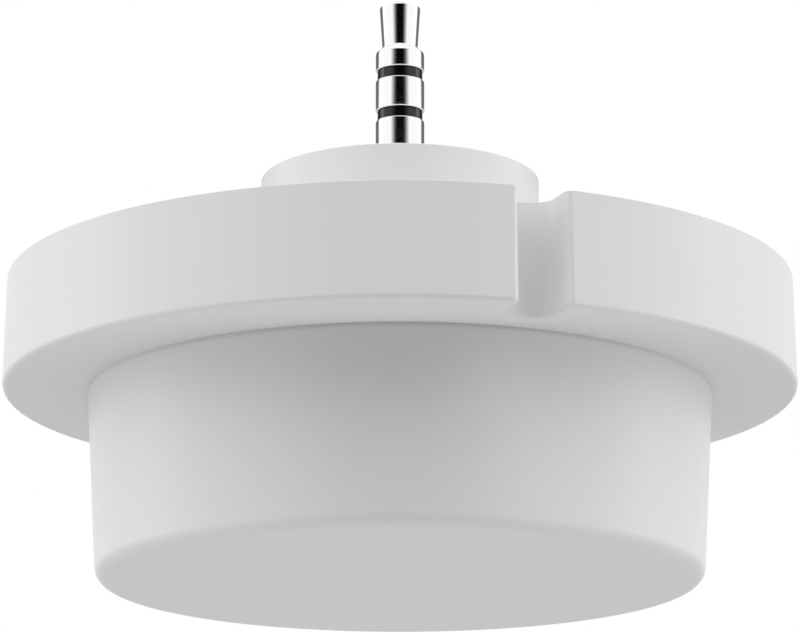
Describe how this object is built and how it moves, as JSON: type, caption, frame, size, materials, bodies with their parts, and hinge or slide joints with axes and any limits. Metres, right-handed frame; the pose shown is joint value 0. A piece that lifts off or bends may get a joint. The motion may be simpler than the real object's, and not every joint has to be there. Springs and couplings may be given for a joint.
{
  "type": "microwave motion sensor",
  "caption": "White plug-in microwave motion sensor head: a shallow drum with a notched flange and a round boss that carries a 3.5 mm plug.",
  "frame": {"origin": "centre of the drum's flat front face, on the axis of drum, boss and plug", "axes": "+Z from the front face along the plug, -Y towards the key notch in the flange"},
  "size_m": [0.056, 0.0559, 0.0426],
  "materials": {
    "white_plastic": "satin white moulding",
    "silicone": "matt grey silicone",
    "zinc_steel": "zinc plated",
    "plated_metal": "polished nickel plating",
    "black_plastic": "satin black moulding",
    "nylon": "natural nylon",
    "antenna_laminate": "high-frequency laminate with copper relief",
    "green_laminate": "green solder mask",
    "tinned_steel": "tin plated",
    "aluminium": "drawn can",
    "ferrite": "dark ferrite",
    "red_sleeving": "soft sleeving",
    "yellow_sleeving": "soft sleeving",
    "black_sleeving": "soft sleeving"
  },
  "bodies": {
    "root": {"front_shell": "white_plastic", "rear_cover": "white_plastic", "cover_seal": "silicone", "mounting_seal": "silicone", "cover_screw_1": "zinc_steel", "cover_screw_2": "zinc_steel", "cover_screw_3": "zinc_steel", "retainer_screw_1": "zinc_steel", "retainer_screw_2": "zinc_steel", "board_screw_1": "zinc_steel", "board_screw_2": "zinc_steel", "board_screw_3": "zinc_steel", "plug_tip": "plated_metal", "plug_ring": "plated_metal", "plug_sleeve": "plated_metal", "tip_insulator": "black_plastic", "ring_insulator": "black_plastic", "header_body": "black_plastic", "microcontroller": "black_plastic", "amplifier_chip": "black_plastic", "voltage_regulator": "black_plastic", "plug_retainer": "nylon", "board_spacer_1": "nylon", "board_spacer_2": "nylon", "board_spacer_3": "nylon", "lead_connector": "nylon", "antenna_board": "antenna_laminate", "control_board": "green_laminate", "rf_shield_can": "tinned_steel", "crystal": "tinned_steel", "header_pin_1": "tinned_steel", "header_pin_2": "tinned_steel", "header_pin_3": "tinned_steel", "header_pin_4": "tinned_steel", "electrolytic_capacitor": "aluminium", "inductor": "ferrite", "tip_lead": "red_sleeving", "ring_lead": "yellow_sleeving", "sleeve_lead": "black_sleeving"}
  },
  "joints": []
}
